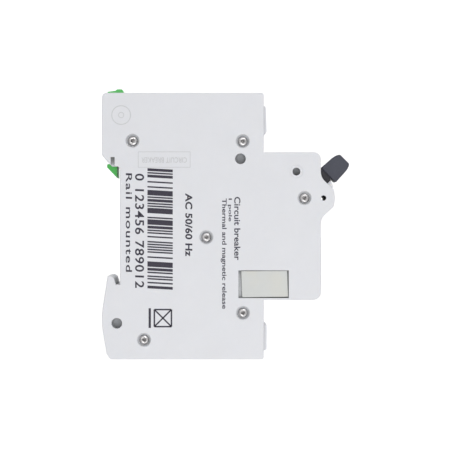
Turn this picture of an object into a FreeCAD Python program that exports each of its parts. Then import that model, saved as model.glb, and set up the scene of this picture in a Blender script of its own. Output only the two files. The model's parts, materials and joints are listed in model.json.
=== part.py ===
"""Single-pole miniature circuit breaker for a 35 mm top-hat rail, one 18 mm module wide.

Frame: origin on the rail seat at the rail's centre line and mid-width.  +Z is up as installed,
with the sliding rail clip at the bottom; the front with the toggle faces -Y; +X is the right side.
The toggle is modelled off, its contacts open.  Lengths are millimetres and angles are degrees.
"""
import FreeCAD, Part
import math
import os

import Sketcher

doc = FreeCAD.newDocument("circuit_breaker")
sheet = doc.addObject("Spreadsheet::Sheet", "Dims")

DRIVING = {
    # case, seen from the side
    "module_width": 18.0, "wall": 1.5, "body_half_height": 40.6, "shoulder_depth": 43.83,
    "nose_half_height": 22.5, "nose_depth": 61.2, "back_depth": 5.45, "corner_round": 1.4,
    "nose_low_round": 2.1, "nose_high_round": 2.3, "shoulder_round": 0.7, "back_curve": 20.0,
    "clip_block_top": -21.6, "clip_slope_depth": 3.72, "clip_slope_top": -19.5,
    "hook_tip_height": 15.2, "hook_tip_depth": 3.78, "hook_tip_inner": 2.6,
    "flange_slot_top": 17.8, "flange_slot_depth": 1.25, "flange_slot_mouth": 1.85,
    "upper_back_low": 26.0, "upper_back_high": 31.0, "upper_back_end": 4.1,
    "upper_back_end_height": 38.8, "top_back_depth": 3.0,
    "collar_proud": 0.95, "collar_half_width": 6.2, "high_collar_low": 30.1,
    "high_collar_high": 38.05, "low_collar_low": -36.75, "low_collar_high": -29.05,
    "low_collar_taper": 1.75, "collar_bevel": 0.45, "side_edge_round": 0.35,
    # rivets, holes and recesses in the sides
    "rivet_shank": 1.2, "rivet_flange": 1.5, "rivet_bore": 0.58, "rivet_sink": 1.9,
    "rivet_sink_bevel": 0.25, "rivet_sink_depth": 1.3, "rivet_flange_thick": 0.65,
    "boss_round": 2.3, "rivet_gap": 0.03,
    "gang_hole": 1.63, "gauge_hole": 1.2, "gauge_ring": 2.0, "gauge_ring_depth": 0.15,
    "seal_hole": 0.8, "seal_slack": 0.1, "blind_depth": 0.9, "cup_depth": 3.6, "cup_wall": 0.7,
    "rivet_bore_depth": 4.0,
    "window_low_depth": 36.1, "window_high_depth": 51.4, "window_low": 13.5, "window_high": 21.9,
    "window_recess": 1.1, "pad_thick": 0.85, "pad_gap": 0.22, "pad_side_gap": 0.85, "pad_skew": 0.3,
    "clip_notch_recess": 1.6, "clip_notch_front": 1.6, "clip_notch_back": 2.8,
    "label_low": 3.6, "label_high": 19.6, "label_half_width": 7.2, "label_thick": 0.2,
    # toggle
    "toggle_depth": 56.2, "toggle_height": -8.55, "toggle_rest_angle": 45.0,
    "drum_round": 8.1, "drum_half_width": 4.3, "slot_round": 11.15, "slot_half_width": 4.7,
    "shoe_round": 10.0, "cap_base": 10.4, "cap_top": 17.45, "cap_half_base": 3.15,
    "cap_half_shoulder": 2.9, "cap_shoulder": 15.0, "cap_half_tip": 1.95, "cap_offset": 0.4,
    "cap_corner": 0.32, "cap_rim": 0.3,
    "cheek_round": 9.27, "bump_half_height": 2.7, "scoop_half_height": 6.2, "scoop_round": 4.0,
    "hub_bore": 1.26, "crank_round": 2.4, "crank_angle": 102.0, "crank_pocket": 2.6,
    "neck_low": -2.6, "neck_high": 1.6, "shoe_last_angle": 61.0,
    "insert_first_angle": 20.0, "insert_last_angle": 32.5,
    # contact mechanism
    "carrier_depth": 40.5, "carrier_height": 3.0, "arm_open_angle": -35.3, "arm_swing": 14.0,
    "arm_length": 21.5, "arm_half_height": 1.6, "arm_half_width": 1.2, "pin_round": 1.0,
    "link_round": 0.6, "link_side": 5.2, "link_end_depth": 45.0, "link_end_height": -8.5,
    "link_eye": 1.5, "carrier_side": 1.3, "carrier_width": 2.7,
    "contact_round": 1.6, "contact_thick": 1.0, "contact_at": 19.5, "contact_gap": 0.12,
    # trip lever, held on one of the rivets
    "lever_depth": 26.3, "lever_height": 3.4, "lever_hub": 2.5, "lever_half_width": 2.5,
    "feeler_side": 4.2, "feeler_width": 2.4,
    # magnetic trip
    "coil_depth": 17.0, "bobbin_low": 8.0, "bobbin_high": 23.0, "bobbin_flange": 6.1,
    "bobbin_tube": 3.4, "bobbin_bore": 2.8, "bobbin_flange_thick": 1.0,
    "coil_round": 4.6, "coil_wire": 0.8, "coil_pitch": 1.85,
    "yoke_thick": 1.0, "yoke_half_width": 5.5, "yoke_back_depth": 11.0, "yoke_front_depth": 24.4,
    "plunger_round": 2.74, "plunger_low": 13.0, "plunger_high": 21.0, "strike_round": 0.8,
    "strike_low": 5.4, "strike_hole": 0.88,
    # thermal trip
    "strip_depth": 24.2, "strip_thick": 0.8, "strip_low": -25.0, "strip_high": -3.0,
    # arc chamber
    "plate_count": 9, "plate_pitch": 2.0, "plate_thick": 0.8, "plate_low": -20.9,
    "plate_front_depth": 15.5, "plate_back_depth": 4.0, "plate_half_width": 6.3,
    # terminals
    "terminal_height": 33.4, "screw_head": 3.1, "screw_head_front": 42.1, "screw_head_back": 40.0,
    "screw_shank": 2.0, "screw_tip": 31.6, "screw_access": 2.9, "thread_gap": 0.05,
    "cage_front": 35.3, "cage_back": 22.5, "cage_wall": 1.4, "cage_half_width": 4.9,
    "cage_half_height": 4.4, "bar_front": 31.5, "bar_thick": 1.5, "bar_half_width": 3.0,
    "bar_leg": 25.4, "entry_half_width": 3.9, "entry_front": 31.0, "entry_back": 23.4,
    # rail clip
    "clip_half_width": 4.9, "clip_gap": 0.15, "clip_front": 1.15, "clip_back": 3.55,
    "clip_tip": -14.8, "clip_tab": -42.0, "channel_front": 0.95, "channel_back": 3.9,
    "clip_slot_half_width": 1.7, "clip_slot_low": -38.2, "clip_slot_high": -27.0,
    "peg_low": -37.6, "peg_high": -36.0,
}


class Size:
    """A length or an angle: its value, and the spreadsheet expression that gives it."""

    def __init__(self, value, text):
        self.value = float(value)
        self.text = text

    @staticmethod
    def of(number):
        if isinstance(number, Size):
            return number
        return Size(number, "(%r)" % float(number))

    def __add__(self, other):
        other = Size.of(other)
        return Size(self.value + other.value, "(%s + %s)" % (self.text, other.text))

    def __sub__(self, other):
        other = Size.of(other)
        return Size(self.value - other.value, "(%s - %s)" % (self.text, other.text))

    def __mul__(self, other):
        other = Size.of(other)
        return Size(self.value * other.value, "(%s * %s)" % (self.text, other.text))

    def __radd__(self, other):
        return Size.of(other) + self

    def __rsub__(self, other):
        return Size.of(other) - self

    def __rmul__(self, other):
        return Size.of(other) * self

    def __neg__(self):
        return Size(-self.value, "(-%s)" % self.text)


class Dims:
    """The driving dimensions, each as a Size under its alias."""


def fill_sheet():
    dims = Dims()
    for row, (alias, value) in enumerate(DRIVING.items(), start=1):
        sheet.set("A%d" % row, alias)
        sheet.set("B%d" % row, str(value))
        sheet.setAlias("B%d" % row, alias)
        setattr(dims, alias, Size(value, "Dims." + alias))
    doc.recompute()
    return dims


D = fill_sheet()
HALF_WIDTH = D.module_width * 0.5
INNER_HALF = HALF_WIDTH - D.wall
TOGGLE = (-D.toggle_depth, D.toggle_height)
CARRIER = (-D.carrier_depth, D.carrier_height)
LEVER = (-D.lever_depth, D.lever_height)
RIVETS = {
    "rear_low": (Size.of(-3.85), Size.of(-26.0)),
    "front_low": (Size.of(-37.4), Size.of(-25.85)),
    "toggle": TOGGLE,
    "lever": LEVER,
    "front_high": (Size.of(-37.45), Size.of(26.45)),
    "rear_high": (Size.of(-7.35), Size.of(34.65)),
}
GANG_HOLES = [(Size.of(-36.7), Size.of(-20.5)), (Size.of(0.95), Size.of(29.6))]
GAUGE_HOLE = (Size.of(-53.75), Size.of(-16.6))
SEAL_HOLE = (Size.of(-62.0), Size.of(-8.55))
TOGGLE_SEAL_HOLE = (SEAL_HOLE[0] + 0.2, SEAL_HOLE[1] + 0.4)
JOIN = 0.3          # how far a rib or a boss runs into the wall it stands on
RIB = 1.0
TURNING_FIT = 0.06
SKIN = 0.01         # between two pieces that lie against each other


# ---------------------------------------------------------------- building helpers

def bind(thing, prop, amount):
    """Set a property from a Size through the spreadsheet."""
    thing.setExpression(prop, Size.of(amount).text)


def new_body(label):
    body = doc.addObject("PartDesign::Body", "Body_" + label)
    body.Label = label
    return body


def new_sketch(body, plane, offset):
    """A sketch parallel to one of the body's origin planes, moved along that plane's normal."""
    sketch = body.newObject("Sketcher::SketchObject", "Sketch")
    support = next(f for f in body.Origin.OriginFeatures if f.Role == plane)
    sketch.AttachmentSupport = [(support, "")]
    sketch.MapMode = "FlatFace"
    bind(sketch, "AttachmentOffset.Base.z", offset)
    return sketch


def pin_down(sketch, geometry, point, place):
    """Hold one point of the sketch at a place given by two Sizes."""
    for kind, amount in zip(("DistanceX", "DistanceY"), place):
        amount = Size.of(amount)
        index = sketch.addConstraint(
            Sketcher.Constraint(kind, -1, 1, geometry, point, amount.value))
        sketch.setExpression("Constraints[%d]" % index, amount.text)


def arc_between(start, end, radius):
    """The shorter arc of a radius between two points, drawn anticlockwise.

    A positive radius bulges to the left of the way from start to end, so that arc runs
    anticlockwise from end to start.
    """
    middle = (start + end) * 0.5
    half = (end - start).Length * 0.5
    normal = FreeCAD.Vector(start.y - end.y, end.x - start.x, 0).normalize()
    rise = abs(radius) - math.sqrt(radius * radius - half * half)
    top = middle + normal * math.copysign(rise, radius)
    return Part.Arc(end, top, start) if radius > 0 else Part.Arc(start, top, end)


def draw_outline(sketch, corners):
    """A closed outline.  A corner is (u, v), or (u, v, radius) where an arc leaves it."""
    count = len(corners)
    points = [FreeCAD.Vector(Size.of(c[0]).value, Size.of(c[1]).value, 0) for c in corners]
    ends = []
    for i, corner in enumerate(corners):
        start, end = points[i], points[(i + 1) % count]
        if len(corner) == 2:
            sketch.addGeometry(Part.LineSegment(start, end), False)
            ends.append((i, 1, 2))
            continue
        radius = Size.of(corner[2]).value
        sketch.addGeometry(arc_between(start, end, radius), False)
        ends.append((i, 2, 1) if radius > 0 else (i, 1, 2))
    for i in range(count):
        here, ahead = ends[i], ends[(i + 1) % count]
        sketch.addConstraint(Sketcher.Constraint("Coincident", here[0], here[2], ahead[0], ahead[1]))
    for i, corner in enumerate(corners):
        pin_down(sketch, i, ends[i][1], corner[:2])
        if len(corner) == 3:
            radius = Size.of(corner[2])
            index = sketch.addConstraint(Sketcher.Constraint("Radius", i, abs(radius.value)))
            text = radius.text if radius.value > 0 else (-radius).text
            sketch.setExpression("Constraints[%d]" % index, text)


def draw_circle(sketch, centre, radius):
    spot = FreeCAD.Vector(Size.of(centre[0]).value, Size.of(centre[1]).value, 0)
    index = sketch.addGeometry(
        Part.Circle(spot, FreeCAD.Vector(0, 0, 1), Size.of(radius).value), False)
    pin_down(sketch, index, 3, centre)
    held = sketch.addConstraint(Sketcher.Constraint("Radius", index, Size.of(radius).value))
    sketch.setExpression("Constraints[%d]" % held, Size.of(radius).text)


def draw(sketch, shape):
    """shape is a list of corners, or (centre, radius) for a circle."""
    if isinstance(shape, list):
        draw_outline(sketch, shape)
    else:
        draw_circle(sketch, shape[0], shape[1])


def add(body, shape, low, high, plane="YZ_Plane"):
    """Pad a shape from low to high along the plane's normal."""
    sketch = new_sketch(body, plane, low)
    draw(sketch, shape)
    pad = body.newObject("PartDesign::Pad", "Pad")
    pad.Profile = sketch
    bind(pad, "Length", Size.of(high) - low)
    return pad


def cut(body, shape, low, high, plane="YZ_Plane"):
    """Pocket a shape between low and high along the plane's normal, and see that it cuts."""
    doc.recompute()
    before = body.Shape.Volume
    sketch = new_sketch(body, plane, high)
    draw(sketch, shape)
    pocket = body.newObject("PartDesign::Pocket", "Pocket")
    pocket.Profile = sketch
    bind(pocket, "Length", Size.of(high) - low)
    doc.recompute()
    if body.Shape.Volume > before - 1e-6:
        raise RuntimeError("a pocket in %s cuts nothing" % body.Label)
    return pocket


def round_edges(body, places, radius):
    """Fillet the edges that run along X through the given (y, z) places."""
    doc.recompute()
    names = []
    for number, edge in enumerate(body.Shape.Edges, start=1):
        if not isinstance(edge.Curve, Part.Line) or abs(edge.tangentAt(edge.FirstParameter).x) < 0.999:
            continue
        spot = edge.Vertexes[0].Point
        if any(math.hypot(spot.y - Size.of(y).value, spot.z - Size.of(z).value) < 0.01
               for y, z in places):
            names.append("Edge%d" % number)
    if len(names) < len(places):
        raise RuntimeError("%s: %d of %d edges found" % (body.Label, len(names), len(places)))
    base = body.Tip
    fillet = body.newObject("PartDesign::Fillet", "Fillet")
    fillet.Base = (base, names)
    bind(fillet, "Radius", radius)
    doc.recompute()
    return fillet


def round_side_face(body, side):
    """Fillet the rim of the flat outer side face."""
    doc.recompute()
    names = []
    for number, edge in enumerate(body.Shape.Edges, start=1):
        box = edge.BoundBox
        if abs(box.XMin * side - HALF_WIDTH.value) < 1e-6 and box.XLength < 1e-6:
            names.append("Edge%d" % number)
    base = body.Tip
    fillet = body.newObject("PartDesign::Fillet", "RimFillet")
    fillet.Base = (base, names)
    bind(fillet, "Radius", D.side_edge_round)
    doc.recompute()
    return fillet


def prism(label, shape, low, high, plane="YZ_Plane"):
    body = new_body(label)
    add(body, shape, low, high, plane)
    return body


def turned(label, profile):
    """A body turned about its own Z axis from (radius, height) corners."""
    body = new_body(label)
    sketch = new_sketch(body, "XZ_Plane", 0)
    draw_outline(sketch, profile)
    turn = body.newObject("PartDesign::Revolution", "Turn")
    turn.Profile = sketch
    turn.ReferenceAxis = (sketch, ["V_Axis"])
    turn.Angle = 360
    return body


def place(body, spot, axis=(0, 0, 1), angle=0):
    """Put a body at a spot of three Sizes, turned by an angle about an axis through the spot."""
    body.Placement = FreeCAD.Placement(
        FreeCAD.Vector(*[Size.of(c).value for c in spot]),
        FreeCAD.Rotation(FreeCAD.Vector(*axis), Size.of(angle).value))
    for letter, amount in zip("xyz", spot):
        bind(body, "Placement.Base." + letter, amount)
    if isinstance(angle, Size):
        bind(body, "Placement.Rotation.Angle", angle)
    return body


def spring(label, mean_radius, wire, pitch, length):
    """An open coil spring about its own Z axis, starting at its origin."""
    body = new_body(label)
    sketch = new_sketch(body, "XZ_Plane", 0)
    draw_circle(sketch, (Size.of(mean_radius), Size.of(0)), wire)
    coil = body.newObject("PartDesign::AdditiveHelix", "Coil")
    coil.Profile = sketch
    coil.ReferenceAxis = (sketch, ["V_Axis"])
    coil.Mode = 0
    bind(coil, "Pitch", pitch)
    bind(coil, "Height", length)
    return body


def group(label, pieces):
    compound = doc.addObject("Part::Compound", "Group_" + label)
    compound.Label = label
    compound.Links = pieces
    return compound


def polar(centre, radius, degrees):
    """A point about a centre in the YZ plane; angles run from the front (-Y) towards -Z."""
    angle = Size.of(degrees)
    across = Size(math.cos(math.radians(angle.value)), "cos(%s * 1deg)" % angle.text)
    down = Size(math.sin(math.radians(angle.value)), "sin(%s * 1deg)" % angle.text)
    return (centre[0] - Size.of(radius) * across, centre[1] - Size.of(radius) * down)


# ---------------------------------------------------------------- case

def case_outline():
    """The side profile, from the low back corner round by the bottom, front and top."""
    scoop_low = D.toggle_height - D.scoop_half_height
    scoop_high = D.toggle_height + D.scoop_half_height
    bump_low = D.toggle_height - D.bump_half_height
    bump_high = D.toggle_height + D.bump_half_height
    crown = -(D.toggle_depth + math.sqrt(D.cheek_round.value ** 2 - D.bump_half_height.value ** 2))
    return [
        (D.back_depth, -D.body_half_height),
        (-D.shoulder_depth, -D.body_half_height),
        (-D.shoulder_depth, -D.nose_half_height),
        (-D.nose_depth, -D.nose_half_height),
        (-D.nose_depth, scoop_low),
        (crown, bump_low, D.cheek_round),
        (crown, bump_high),
        (-D.nose_depth, scoop_high),
        (-D.nose_depth, D.nose_half_height),
        (-D.shoulder_depth, D.nose_half_height),
        (-D.shoulder_depth, D.body_half_height),
        (D.top_back_depth, D.body_half_height),
        (D.upper_back_end, D.upper_back_end_height),
        (D.back_depth, D.upper_back_high),
        (D.back_depth, D.upper_back_low),
        (D.hook_tip_depth, D.hook_tip_height),
        (D.hook_tip_inner, D.hook_tip_height),
        (D.flange_slot_mouth, D.hook_tip_height + 0.6),
        (D.flange_slot_depth, D.flange_slot_top),
        (Size.of(0), D.flange_slot_top),
        (Size.of(0), D.clip_slope_top + 2.1),
        (Size.of(0.6), D.clip_slope_top + 1.3),
        (D.clip_slope_depth - 1.2, D.clip_slope_top + 1.3),
        (D.clip_slope_depth, D.clip_slope_top),
        (D.back_depth, D.clip_block_top),
    ]


def cavity_outline():
    inner_height = D.body_half_height - D.wall
    inner_front = -(D.shoulder_depth - D.wall)
    nose_front = -(D.nose_depth - D.wall)
    nose_height = D.nose_half_height - D.wall
    back = D.back_depth - D.wall
    return [
        (-D.wall, -inner_height),
        (inner_front, -inner_height),
        (inner_front, -nose_height),
        (nose_front, -nose_height),
        (nose_front, nose_height),
        (inner_front, nose_height),
        (inner_front, inner_height),
        (D.top_back_depth - D.wall, inner_height),
        (back, D.upper_back_high),
        (back, D.upper_back_low),
        (back - 1.2, D.flange_slot_top + 2.2),
        (-D.wall, D.flange_slot_top + 2.2),
    ]


def box_outline(y_low, y_high, z_low, z_high):
    return [(y_low, z_low), (y_high, z_low), (y_high, z_high), (y_low, z_high)]


def rib_outline(front, z_low, z_high):
    return box_outline(front, front + RIB, z_low, z_high)


def collar_outlines():
    """The raised pads round the two terminal screw holes; the lower one leans and tapers off."""
    shoulder = -D.shoulder_depth
    front = shoulder - D.collar_proud
    root = shoulder + 0.5
    bevel = D.collar_bevel
    high = [(root, D.high_collar_low), (front + bevel, D.high_collar_low),
            (front, D.high_collar_low + bevel), (front, D.high_collar_high - bevel),
            (front + bevel, D.high_collar_high), (root, D.high_collar_high)]
    low = [(root, D.low_collar_low), (front + bevel, D.low_collar_low),
           (front + bevel * 0.6, D.low_collar_low + bevel), (front, D.low_collar_high),
           (front + bevel, D.low_collar_high + bevel),
           (shoulder, D.low_collar_high + D.low_collar_taper),
           (root, D.low_collar_high + D.low_collar_taper)]
    return high, low


def case_half(label, side):
    """One half of the case; side is +1 for the right half and -1 for the left."""

    def span(near, far):
        """Two distances from the middle plane as a low and a high X."""
        return (Size.of(near), Size.of(far)) if side > 0 else (-Size.of(far), -Size.of(near))

    body = prism(label, case_outline(), *span(0, HALF_WIDTH))
    front, high = -D.shoulder_depth, D.body_half_height
    round_edges(body, [(front, high), (front, -high)], D.shoulder_round)
    round_edges(body, [(-D.nose_depth, D.nose_half_height)], D.nose_high_round)
    round_edges(body, [(-D.nose_depth, -D.nose_half_height)], D.nose_low_round)
    round_edges(body, [(D.back_depth, -high), (D.top_back_depth, high)], D.corner_round)
    round_edges(body, [(-D.nose_depth, D.toggle_height - D.scoop_half_height),
                       (-D.nose_depth, D.toggle_height + D.scoop_half_height)], D.scoop_round)
    round_edges(body, [(D.back_depth, D.upper_back_high), (D.back_depth, D.upper_back_low)],
                D.back_curve)
    round_side_face(body, side)
    for collar in collar_outlines():
        add(body, collar, *span(0, D.collar_half_width))
    cut(body, cavity_outline(), *span(0, INNER_HALF))
    add_inner_walls(body, span)
    add_bosses(body, span, side)
    cut_side_details(body, span, side)
    cut_openings(body, span)
    return body


def add_inner_walls(body, span):
    """Ribs that part the terminals from the mechanism and carry the solenoid and arc chamber."""
    inner = D.body_half_height - D.wall
    reach = INNER_HALF + JOIN
    for sign in (1, -1):
        ends = sorted([(inner.value + JOIN) * sign, 28.4 * sign])
        add(body, rib_outline(-D.cage_back + 0.7, *ends), *span(0, reach))
    add(body, rib_outline(-D.yoke_back_depth + 0.3, 7.0, 24.2), *span(0, reach))
    add(body, rib_outline(-D.plate_back_depth + 0.6, -22.9, -3.0), *span(0, reach))


def add_bosses(body, span, side):
    """Tubes round the rivets and the carrier pin, short where a moving piece turns."""
    reach = INNER_HALF + JOIN
    starts = {"toggle": 6.1 if side > 0 else 4.7, "lever": 6.9 if side > 0 else 3.4}
    for name, spot in RIVETS.items():
        add(body, (spot, D.boss_round), *span(starts.get(name, 0), reach))
    add(body, (CARRIER, D.boss_round), *span(6.0 if side > 0 else 3.0, reach))


def cut_side_details(body, span, side):
    """Rivet sinks, the holes in the sides, the side window and the clip notch.

    The gang and gauge holes end in blind cups behind the right wall and are shallow in the left.
    """
    face = HALF_WIDTH
    hole_start = HALF_WIDTH - (D.cup_depth if side > 0 else D.blind_depth)
    if side > 0:
        for spot, radius in [(hole, D.gang_hole) for hole in GANG_HOLES] + [(GAUGE_HOLE, D.gauge_hole)]:
            add(body, (spot, radius + D.cup_wall), hole_start - D.cup_wall, INNER_HALF + JOIN)
    for spot in RIVETS.values():
        cut(body, (spot, D.rivet_sink), *span(face - D.rivet_sink_depth, face))
    bevel_sinks(body, side)
    for spot in RIVETS.values():
        cut(body, (spot, D.rivet_shank + D.rivet_gap), *span(0, face))
    cut(body, (CARRIER, D.pin_round + D.rivet_gap), *span(0, INNER_HALF))
    for spot in GANG_HOLES:
        cut(body, (spot, D.gang_hole), *span(hole_start, face))
    cut(body, (GAUGE_HOLE, D.gauge_ring), *span(face - D.gauge_ring_depth, face))
    cut(body, (GAUGE_HOLE, D.gauge_hole), *span(hole_start, face))
    cut(body, (SEAL_HOLE, D.seal_hole), *span(D.slot_half_width, face))
    cut(body, box_outline(-D.window_high_depth, -D.window_low_depth, D.window_low, D.window_high),
        *span(face - D.window_recess, face))
    cut(body, box_outline(D.clip_notch_front, D.clip_notch_back, D.clip_slope_top - 1.5,
                          D.clip_slope_top + 2), *span(face - D.clip_notch_recess, face))


def bevel_sinks(body, side):
    """Open the mouths of the rivet sinks into shallow cones."""
    doc.recompute()
    names = []
    for number, edge in enumerate(body.Shape.Edges, start=1):
        if not isinstance(edge.Curve, Part.Circle):
            continue
        at_face = abs(edge.BoundBox.XMin * side - HALF_WIDTH.value) < 1e-6
        if at_face and abs(edge.Curve.Radius - D.rivet_sink.value) < 1e-6:
            names.append("Edge%d" % number)
    if len(names) < len(RIVETS):
        raise RuntimeError("%s: %d sinks found" % (body.Label, len(names)))
    base = body.Tip
    bevel = body.newObject("PartDesign::Chamfer", "SinkBevel")
    bevel.Base = (base, names)
    bind(bevel, "Size", D.rivet_sink_bevel)
    doc.recompute()


def cut_openings(body, span):
    """The toggle slot, the terminals' wire entries and screw holes, and the clip's channel."""
    cut(body, (TOGGLE, D.slot_round), *span(0, D.slot_half_width))
    cut(body, box_outline(D.channel_front, D.channel_back, -D.body_half_height - 1,
                          D.clip_slope_top + 3), *span(0, D.clip_half_width + D.clip_gap))
    cut(body, box_outline(D.channel_back - 0.5, D.channel_back + 0.6, D.clip_slope_top - 5,
                          D.clip_slope_top + 3), *span(0, D.clip_half_width + D.clip_gap))
    add(body, box_outline(D.channel_front - 0.3, D.channel_back + 0.3, D.peg_low, D.peg_high),
        *span(0, D.clip_slot_half_width - 0.2))
    low_x, high_x = span(0, D.entry_half_width)
    entry = [(low_x, -D.entry_front), (high_x, -D.entry_front),
             (high_x, -D.entry_back), (low_x, -D.entry_back)]
    outside = D.body_half_height + 1
    inside = D.body_half_height - 2
    cut(body, entry, inside, outside, "XY_Plane")
    cut(body, entry, -outside, -inside, "XY_Plane")
    for sign in (1, -1):
        hole = ((Size.of(0), D.terminal_height * sign), D.screw_access)
        cut(body, hole, D.shoulder_depth - 3, D.shoulder_depth + 3, "XZ_Plane")


def rivet(name, spot):
    """A semi-tubular rivet turned about X: flat head on the left, rolled open end on the right."""
    end = HALF_WIDTH - D.rivet_sink_depth + D.rivet_flange_thick
    neck = HALF_WIDTH - D.rivet_sink_depth
    bottom = end - D.rivet_bore_depth
    lip = 0.15
    profile = [(0, -end), (D.rivet_flange, -end), (D.rivet_flange, -neck),
               (D.rivet_shank, -neck), (D.rivet_shank, neck), (D.rivet_flange, neck),
               (D.rivet_flange, neck + lip), (D.rivet_flange - 2 * lip, end - lip),
               (D.rivet_bore + 2 * lip, end), (D.rivet_bore, end - lip),
               (D.rivet_bore, bottom), (0, bottom)]
    return place(turned("rivet_" + name, profile), (0, spot[0], spot[1]), (0, 1, 0), 90)


# ---------------------------------------------------------------- toggle and link

def cap_outline():
    """The finger cap in the toggle's own axes: u outward from the pivot, v across."""
    nip = D.cap_corner
    side = 4.0
    right = [(D.cap_base, D.cap_half_base - nip), (D.cap_base + nip, D.cap_half_base),
             (D.cap_shoulder, D.cap_half_shoulder), (D.cap_top - nip * 0.5, D.cap_half_tip + nip * 0.5),
             (D.cap_top, D.cap_half_tip - nip)]
    left = [(u, -v) for u, v in right]
    left[2] += (side,)
    right[3] += (side,)
    loop = left + right[::-1]
    return [(corner[0], corner[1] + D.cap_offset) + tuple(corner[2:]) for corner in loop]


def toggle_axes(u, v):
    """The toggle's own axes to the frame's: u points at the cap, v towards the case's middle."""
    angle = math.radians(D.toggle_rest_angle.value)
    across = Size(math.cos(angle), "cos(Dims.toggle_rest_angle * 1deg)")
    down = Size(math.sin(angle), "sin(Dims.toggle_rest_angle * 1deg)")
    u, v = Size.of(u), Size.of(v)
    return (TOGGLE[0] - u * across - v * down, TOGGLE[1] - u * down + v * across)


def toggle():
    half = D.drum_half_width
    body = prism("toggle", (TOGGLE, D.drum_round), -half, half)
    first, last = D.insert_last_angle + 0.6, D.shoe_last_angle
    inner = D.drum_round - 1.5
    shoe = [polar(TOGGLE, inner, first), polar(TOGGLE, D.shoe_round, first) + (-D.shoe_round,),
            polar(TOGGLE, D.shoe_round, last), polar(TOGGLE, inner, last)]
    add(body, shoe, -half, half)
    root, end = D.drum_round - 1.0, D.cap_base + 0.4
    neck = [(root, D.neck_low), (end, D.neck_low), (end, D.neck_high), (root, D.neck_high)]
    add(body, [toggle_axes(*c) for c in neck], -half + 0.5, half - 0.5)
    cap = [toggle_axes(c[0], c[1]) + tuple(c[2:]) for c in cap_outline()]
    add(body, cap, -half, half)
    round_cap_rims(body)
    cut(body, (TOGGLE, D.hub_bore), -half, half)
    cut(body, (TOGGLE_SEAL_HOLE, D.seal_hole + D.seal_slack), -half, half)
    crank = polar(TOGGLE, D.crank_round, Size.of(180) + D.crank_angle)
    cut(body, (crank, D.link_round + TURNING_FIT), half - D.crank_pocket, half)
    return body


def round_cap_rims(body):
    """Soften the rims of the cap's two side faces, outside the drum and its shoe."""
    doc.recompute()
    inside = D.cap_base.value + 0.1
    names = []
    for number, edge in enumerate(body.Shape.Edges, start=1):
        box = edge.BoundBox
        flat = box.XLength < 1e-6 and abs(abs(box.XMin) - D.drum_half_width.value) < 1e-6
        away = min(math.hypot(v.Point.y - TOGGLE[0].value, v.Point.z - TOGGLE[1].value)
                   for v in edge.Vertexes)
        if flat and away > inside:
            names.append("Edge%d" % number)
    base = body.Tip
    fillet = body.newObject("PartDesign::Fillet", "CapRims")
    fillet.Base = (base, names)
    bind(fillet, "Radius", D.cap_rim)
    doc.recompute()


def toggle_insert():
    inner = D.drum_round + 0.05
    outer = D.shoe_round - 0.1
    first, last = D.insert_first_angle, D.insert_last_angle
    return prism("toggle_insert",
                 [polar(TOGGLE, inner, first), polar(TOGGLE, outer, first) + (-outer,),
                  polar(TOGGLE, outer, last), polar(TOGGLE, inner, last) + (inner,)],
                 -D.drum_half_width + 0.4, D.drum_half_width - 0.4)


def link():
    """A wire link from the toggle's crank to the carrier, bent in at both ends."""
    crank = polar(TOGGLE, D.crank_round, Size.of(180) + D.crank_angle)
    far = (-D.link_end_depth, D.link_end_height)
    start = FreeCAD.Vector(0, crank[0].value, crank[1].value)
    end = FreeCAD.Vector(0, far[0].value, far[1].value)
    along = end - start
    side = FreeCAD.Vector(D.link_side.value, 0, 0)
    radius = D.link_round.value
    bar = Part.makeCylinder(radius, along.Length, start + side, along)
    shape = bar
    for foot, inner in ((start, D.drum_half_width.value - 2.3), (end, D.carrier_side.value + 0.3)):
        reach = D.link_side.value - inner
        pin = Part.makeCylinder(radius, reach, foot + FreeCAD.Vector(inner, 0, 0),
                                FreeCAD.Vector(1, 0, 0))
        shape = shape.fuse(pin).fuse(Part.makeSphere(radius, foot + side))
    feature = doc.addObject("Part::Feature", "Link")
    feature.Label = "mechanism_link"
    feature.Shape = shape.removeSplitter()
    return feature


# ---------------------------------------------------------------- contacts

def contact_carrier():
    """A moulded lever: a hub on the pin, and an eye for the link below it."""
    y, z = CARRIER
    corners = [(y - 2.5, z + 2.0), (y + 2.3, z + 2.4), (y + 4.2, z - 2.4), (y - 0.8, z - 10.8),
               (y - 2.0, z - 13.9), (y - 6.4, z - 13.9), (y - 6.7, z - 10.5), (y - 3.9, z - 2.4)]
    low = D.carrier_side
    high = D.carrier_side + D.carrier_width
    body = prism("contact_carrier", corners, low, high)
    cut(body, (CARRIER, D.pin_round + TURNING_FIT), low, high)
    cut(body, ((-D.link_end_depth, D.link_end_height), D.link_eye), low, high)
    return body


def contact_arm():
    half = D.arm_half_height
    corners = [(-2.8, -half - 0.6), (2.8, -half - 0.6), (6.0, -half), (D.arm_length, -half),
               (D.arm_length, half), (6.0, half), (2.8, half + 0.6), (-2.8, half + 0.6)]
    body = prism("contact_arm", corners, -D.arm_half_width, D.arm_half_width)
    cut(body, ((Size.of(0), Size.of(0)), D.pin_round + TURNING_FIT), -D.arm_half_width,
        D.arm_half_width)
    return place(body, (0,) + CARRIER, (1, 0, 0), D.arm_open_angle)


def moving_contact():
    body = new_body("moving_contact")
    add(body, ((Size.of(0), D.contact_at), D.contact_round), 0, D.contact_thick, "XY_Plane")
    turn = math.radians(D.arm_open_angle.value)
    half = D.arm_half_height
    lift = (CARRIER[0] - half * Size(math.sin(turn), "sin(Dims.arm_open_angle * 1deg)"),
            CARRIER[1] + half * Size(math.cos(turn), "cos(Dims.arm_open_angle * 1deg)"))
    return place(body, (0,) + lift, (1, 0, 0), D.arm_open_angle)


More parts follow.
